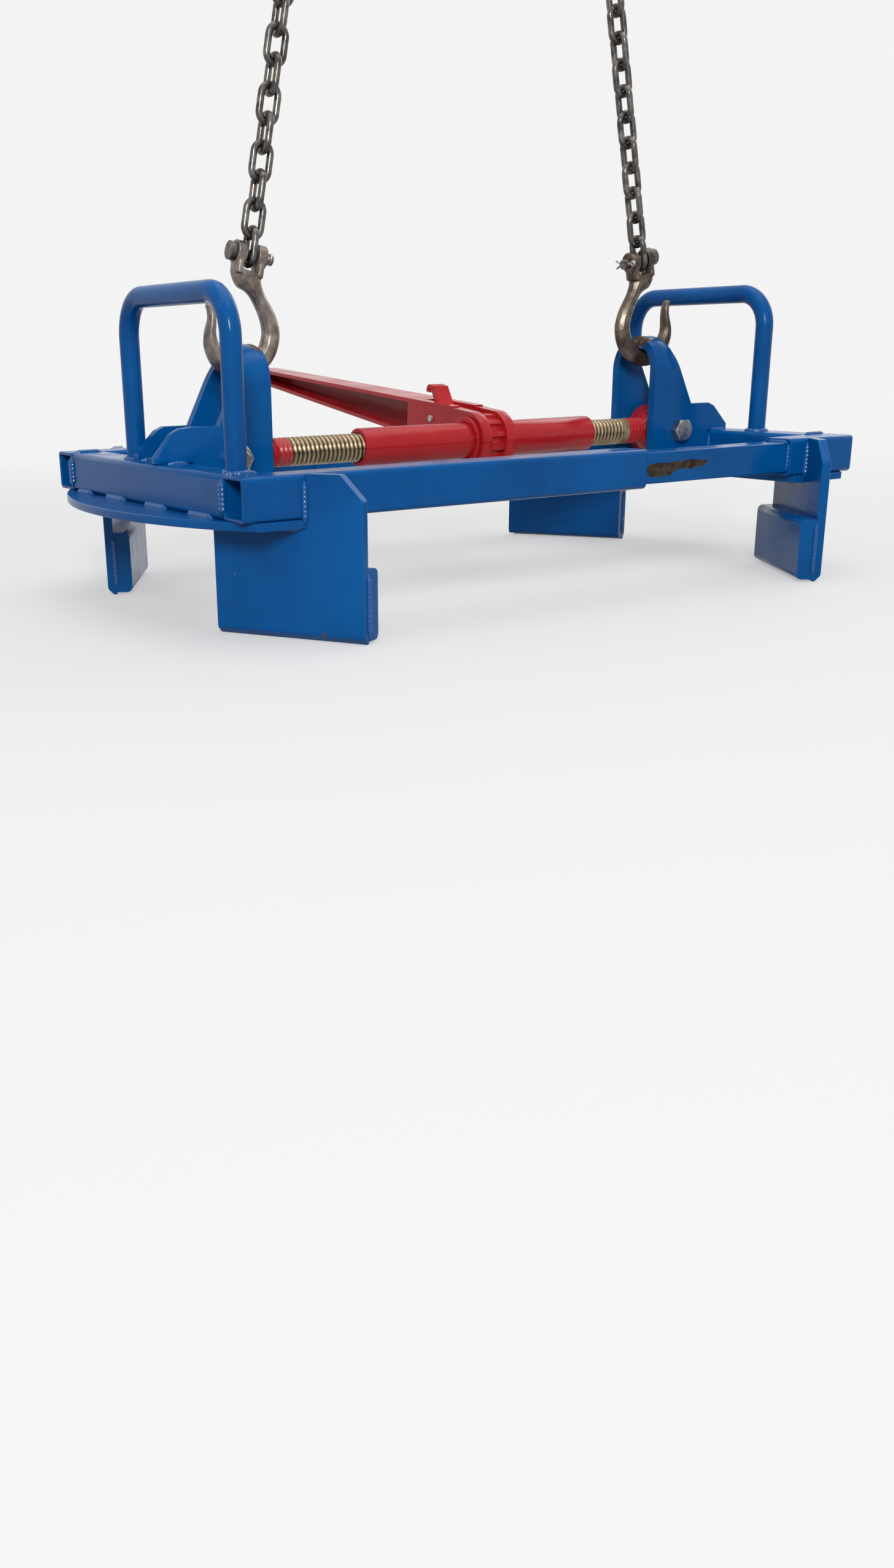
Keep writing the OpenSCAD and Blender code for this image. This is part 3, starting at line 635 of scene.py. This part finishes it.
# seams of one carriage, in metres: start, end, width of the bead
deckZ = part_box("left_beam")[1][2]
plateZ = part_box("left_base_plate")[1][2]
beamOut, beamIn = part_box("left_beam")[0][0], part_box("left_beam")[1][0]
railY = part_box("left_beam")[1][1]
seams = []
for side in (-1, 1):
    seams += [
        ((beamOut + 0.003, side * railY, deckZ), (beamIn - 0.003, side * railY, deckZ), 0.0048),
        ((beamOut + 0.0005, side * railY, 0.009), (beamOut + 0.0005, side * railY, 0.0355), 0.0072),
        ((beamIn, side * railY, 0.010), (beamIn, side * railY, 0.0345), 0.0055),
        ((-0.2621, side * 0.178, 0.003), (-0.2621, side * 0.178, 0.0335), 0.0062),
        ((-0.2529, side * 0.178, 0.004), (-0.2529, side * 0.178, 0.0345), 0.0075),
        ((-0.2987, side * 0.1147, -0.0005), (-0.2637, side * 0.1753, -0.0005), 0.0058),
        ((-0.2318, side * 0.2146, -0.077), (-0.2318, side * 0.2146, -0.031), 0.0046),
        ((-0.2953, side * 0.1047, -0.077), (-0.2953, side * 0.1047, -0.031), 0.0046),
        ((beamIn, side * 0.030, 0.013), (beamIn, side * 0.030, 0.0335), 0.0052),
        ((beamIn, side * 0.022, 0.013), (beamIn, side * 0.022, 0.0335), 0.0052),
    ]
for start, end in ((-0.128, -0.088), (-0.048, -0.008), (0.032, 0.072), (0.104, 0.136)):
    seams.append(((beamOut + 0.0008, start, plateZ), (beamOut + 0.0008, end, plateZ), 0.0068))
for y in (-0.030, -0.022, 0.022, 0.030):
    seams.append(((-0.3005, y, deckZ), (-0.2825, y, deckZ), 0.0046))
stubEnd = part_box("left_stub_rail")[1][0]
barLow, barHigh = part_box("left_inner_bar")
seams += [
    ((stubEnd, barLow[1] + 0.001, barHigh[2]), (stubEnd, barHigh[1] - 0.001, barHigh[2]), 0.0042),
    ((stubEnd, barLow[1], barLow[2] + 0.001), (stubEnd, barLow[1], barHigh[2] - 0.001), 0.0042),
    ((stubEnd, barHigh[1], barLow[2] + 0.001), (stubEnd, barHigh[1], barHigh[2] - 0.001), 0.0042),
]
gripRadius = 0.008


def makeWelds(side, s=weldSettings):
    bm = bmesh.new()
    turn = Matrix.Rotation(math.pi if side == "right" else 0.0, 4, "Z")
    for start, end, wide in seams:
        weldLine(bm, turn @ Vector(start), turn @ Vector(end), wide)
    low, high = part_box(side + "_grab_handle")
    for y in (low[1] + gripRadius, high[1] - gripRadius):
        weldRing(bm, ((low[0] + high[0]) / 2, y, deckZ), gripRadius + s["gripGap"], s["grip"])
    addPiece(side + "Welds", bm, side + "_carriage", "blue_paint", weldPaint)


makeWelds("left")
makeWelds("right")
print("welds laid")


# drop-forged hooks: stations from the point round the bowl to the fork, in the hook's own plane, each a
# distance toward the middle, a height above the bowl's centre, a width in the plane and a depth across it
hookSettings = {
    "stations": [(-0.0312, 0.0150, 0.0048, 0.0070), (-0.0286, 0.0132, 0.0058, 0.0080),
                 (-0.0266, 0.0092, 0.0062, 0.0088), (-0.0255, 0.0040, 0.0068, 0.0098),
                 (-0.0254, -0.0018, 0.0082, 0.0110), (-0.0252, -0.0078, 0.0096, 0.0120),
                 (-0.0225, -0.0158, 0.0124, 0.0128), (-0.0143, -0.0248, 0.0148, 0.0134),
                 (-0.0025, -0.0288, 0.0154, 0.0136), (0.0099, -0.0271, 0.0156, 0.0136),
                 (0.0204, -0.0204, 0.0154, 0.0136), (0.0271, -0.0098, 0.0152, 0.0134),
                 (0.0285, 0.0025, 0.0148, 0.0130), (0.0249, 0.0127, 0.0136, 0.0126),
                 (0.0194, 0.0206, 0.0122, 0.0122), (0.0136, 0.0274, 0.0114, 0.0120),
                 (0.0084, 0.0336, 0.0132, 0.0126), (0.0042, 0.0382, 0.0186, 0.0140),
                 (0.0012, 0.0412, 0.0232, 0.0152), (0.0, 0.0438, 0.0258, 0.0160),
                 (0.0, 0.0456, 0.0266, 0.0166)],
    "perSpan": 4,
    "earIn": 0.0049, "earOut": 0.0133, "earFrom": 0.0425, "earDeep": 0.0158, "earRound": 0.0092,
    "voxel": 0.0006, "smooth": 14, "smoothShare": 0.5,
}


# smooth curve through the stations
def between(stations, perSpan):
    rows = [Vector(row) for row in [stations[0]] + stations + [stations[-1]]]
    line = []
    for a, b, c, d in zip(rows, rows[1:], rows[2:], rows[3:]):
        for step in range(perSpan):
            t = step / perSpan
            line.append(0.5 * (2 * b + (c - a) * t + (2 * a - 5 * b + 4 * c - d) * t ** 2
                               + (3 * b - a - 3 * c + d) * t ** 3))
    return line + [rows[-1]]


# octagonal sections, flat on the forging's faces, bridged one to the next
def loft(bm, places):
    part = bmesh.new()
    rings = []
    eighth = math.pi / 8
    for k, place in enumerate(places):
        ring = bmesh.ops.create_circle(part, cap_ends=k in (0, len(places) - 1), segments=8,
                                       radius=0.5 / math.cos(eighth),
                                       matrix=place @ Matrix.Rotation(eighth, 4, "Z"))
        known = set(ring["verts"])
        rings.append([e for v in ring["verts"] for e in v.link_edges if e.other_vert(v) in known])
    for one, two in zip(rings, rings[1:]):
        bmesh.ops.bridge_loops(part, edges=list(set(one + two)))
    gather(bm, part)


# place and size of a section: its middle, its two directions and sizes, and the way that it faces
def section(origin, wide, deep, way, width, depth):
    columns = [wide * width, deep * depth, way, origin]
    return Matrix([list(c) + [float(k == 3)] for k, c in enumerate(columns)]).transposed()


def makeHook(side, s=hookSettings):
    joints = {j["name"]: j for j in frame["joints"]}
    bowl = Vector(joints[side + "_hook_swing"]["pos_m"])
    pin = Vector(joints[side + "_chain_swing"]["pos_m"])
    up = (pin - bowl).normalized()
    across = Vector((0, 1, 0))
    inward = across.cross(up)
    if inward.x * bowl.x > 0:
        inward = -inward
    line = between(s["stations"], s["perSpan"])
    bm = bmesh.new()
    places = []
    for before, row, after in zip([line[0]] + line, line, line[1:] + [line[-1]]):
        run = (after - before).xy.normalized()
        places.append(section(bowl + inward * row.x + up * row.y, inward * run.y - up * run.x, across,
                              inward * run.x + up * run.y, row.z, row.w))
    loft(bm, places)
    thick = s["earOut"] - s["earIn"]
    for turn in (-1, 1):
        foot = bowl + inward * turn * (s["earIn"] + s["earOut"]) / 2
        top = foot + up * (pin - bowl).length
        loft(bm, [section(foot + up * s["earFrom"], inward, across, up, thick, s["earDeep"]),
                  section(top, inward, across, up, thick, s["earDeep"])])
        knuckle = bmesh.new()
        bmesh.ops.create_cone(knuckle, cap_ends=True, segments=40, radius1=s["earRound"],
                              radius2=s["earRound"], depth=thick,
                              matrix=section(top, up, across, inward, 1.0, 1.0))
        gather(bm, knuckle)
    piece = addPiece(side + "ForgedHook", bm, side + "_hook_body", "forged_steel",
                     ownFinish.get(side + "_hook"))
    skin = piece.modifiers.new("forgedSkin", "REMESH")
    skin.mode = "VOXEL"
    skin.voxel_size = s["voxel"]
    skin.use_smooth_shade = True
    rounding = piece.modifiers.new("forgedEdges", "SMOOTH")
    rounding.factor = s["smoothShare"]
    rounding.iterations = s["smooth"]
    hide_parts(side + "_hook")


makeHook("left")
makeHook("right")
print("hooks forged")


# split pins through the free ends of the clevis pins
splitPinSettings = {"wire": 0.0011, "fromEar": 0.0048, "length": 0.017, "loop": 0.0021, "splay": 24.0,
                    "through": 0.005, "legFrom": 0.0045, "leg": 0.008, "legWire": 0.8, "loopSteps": 20}


def rod(bm, start, end, radius):
    start, end = Vector(start), Vector(end)
    turn = (end - start).to_track_quat("Z", "Y").to_matrix().to_4x4()
    bmesh.ops.create_cone(bm, cap_ends=True, segments=12, radius1=radius, radius2=radius,
                          depth=(end - start).length, matrix=Matrix.Translation((start + end) / 2) @ turn)


def makeSplitPin(side, s=splitPinSettings):
    joint = next(j for j in frame["joints"] if j["name"] == side + "_chain_swing")
    inward = Vector(joint["axis"]).normalized()
    if inward.x * joint["pos_m"][0] > 0:
        inward = -inward
    ends = [Vector(corner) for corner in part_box(side + "_clevis_pin")]
    reach = max(abs((c - Vector(joint["pos_m"])).dot(inward)) for c in ends)
    hub = Vector(joint["pos_m"]) + inward * (reach - s["fromEar"])
    across = Vector((0, 1, 0))
    up = across.cross(inward)
    bm = bmesh.new()
    half = s["length"] / 2
    rod(bm, hub - across * half, hub + across * s["through"], s["wire"])
    split = hub + across * s["legFrom"]
    for turn in (-1, 1):
        tilt = math.radians(s["splay"]) * turn
        leg = (across * math.cos(tilt) + up * math.sin(tilt)) * s["leg"]
        rod(bm, split, split + leg, s["wire"] * s["legWire"])
    loopAt = hub - across * (half + s["loop"])
    facing = inward.cross(across).to_track_quat("Z", "Y").to_matrix().to_4x4()
    ring = bmesh.ops.create_circle(bm, segments=10, radius=s["wire"], cap_ends=False,
                                   matrix=Matrix.Translation(loopAt + across * s["loop"]) @ facing)
    edges = list({e for v in ring["verts"] for e in v.link_edges})
    bmesh.ops.spin(bm, geom=ring["verts"] + edges, cent=loopAt, axis=inward, angle=2 * math.pi,
                   steps=s["loopSteps"], use_merge=True)
    bmesh.ops.recalc_face_normals(bm, faces=bm.faces)
    addPiece(side + "SplitPin", bm, side + "_hook_body", "zinc_plate")


makeSplitPin("left")
makeSplitPin("right")
print("split pins set")


# floor and light
floorSettings = {"z": cadBox[0][2], "half": 40.0, "colour": (0.33, 0.33, 0.33), "rough": 0.85, "lift": 0.42,
                 "fade": (0.55, 1.7)}
paleTone = (0.90, 0.90, 0.90, 1.0)   # what the floor fades to, and the tone past its edge


def makeFloor(s):
    bm = bmesh.new()
    bmesh.ops.create_grid(bm, x_segments=1, y_segments=1, size=s["half"])
    bmesh.ops.translate(bm, vec=(0, 0, s["z"]), verts=bm.verts)
    mesh = bpy.data.meshes.new("studioFloor")
    bm.to_mesh(mesh)
    bm.free()
    mat, tree, shader, where = startMaterial("paleFloor")
    shader.inputs["Base Color"].default_value = (*s["colour"], 1.0)
    shader.inputs["Roughness"].default_value = s["rough"]
    seen = seenDirectly(tree)
    lift = tree.nodes.new("ShaderNodeEmission")
    tree.links.new(math2(tree, "MULTIPLY", seen, s["lift"]), lift.inputs["Strength"])
    lit = tree.nodes.new("ShaderNodeAddShader")
    tree.links.new(shader.outputs["BSDF"], lit.inputs[0])
    tree.links.new(lift.outputs["Emission"], lit.inputs[1])
    away = tree.nodes.new("ShaderNodeVectorMath")
    away.operation = "LENGTH"
    tree.links.new(where, away.inputs[0])
    fade = math2(tree, "MULTIPLY", ramp(tree, away.outputs["Value"], *s["fade"]), seen)
    far = tree.nodes.new("ShaderNodeEmission")
    far.inputs["Color"].default_value = paleTone
    blend = tree.nodes.new("ShaderNodeMixShader")
    tree.links.new(fade, blend.inputs["Fac"])
    tree.links.new(lit.outputs["Shader"], blend.inputs[1])
    tree.links.new(far.outputs["Emission"], blend.inputs[2])
    tree.links.new(blend.outputs["Shader"], tree.nodes["Material Output"].inputs["Surface"])
    mesh.materials.append(mat)
    floor = bpy.data.objects.new("studioFloor", mesh)
    bpy.context.scene.collection.objects.link(floor)


lampSettings = {
    "overhead": {"place": (0.1, -0.1, 2.2), "aim": (0, 0, 0.1), "size": (2.6, 2.0), "power": 26.0},
    "front": {"place": (-1.40, -2.10, 1.05), "aim": (0, 0, 0.0), "size": (0.3, 0.6), "power": 44.0},
    "side": {"place": (2.2, 0.8, 1.2), "aim": (0, 0, 0.1), "size": (1.4, 1.4), "power": 9.0},
}
worldSettings = {"colour": (0.86, 0.87, 0.88, 1.0), "strength": 0.50}


def makeLamps(lamps):
    for name, s in lamps.items():
        data = bpy.data.lights.new(name, "AREA")
        data.shape = "RECTANGLE"
        data.size, data.size_y = s["size"]
        data.energy = s["power"]
        lamp = bpy.data.objects.new(name, data)
        lamp.location = s["place"]
        lamp.rotation_euler = (Vector(s["aim"]) - Vector(s["place"])).to_track_quat("-Z", "Y").to_euler()
        bpy.context.scene.collection.objects.link(lamp)


def makeWorld(s):
    world = bpy.data.worlds.new("studio")
    world.use_nodes = True
    tree = world.node_tree
    light = tree.nodes["Background"]
    light.inputs["Color"].default_value = s["colour"]
    light.inputs["Strength"].default_value = s["strength"]
    pale = tree.nodes.new("ShaderNodeBackground")
    pale.inputs["Color"].default_value = paleTone
    mix = tree.nodes.new("ShaderNodeMixShader")
    tree.links.new(seenDirectly(tree), mix.inputs["Fac"])
    tree.links.new(light.outputs["Background"], mix.inputs[1])
    tree.links.new(pale.outputs["Background"], mix.inputs[2])
    tree.links.new(mix.outputs["Shader"], tree.nodes["World Output"].inputs["Surface"])
    bpy.context.scene.world = world


makeFloor(floorSettings)
makeLamps(lampSettings)
makeWorld(worldSettings)
bpy.context.scene.view_settings.view_transform = "Standard"
print("studio ready")
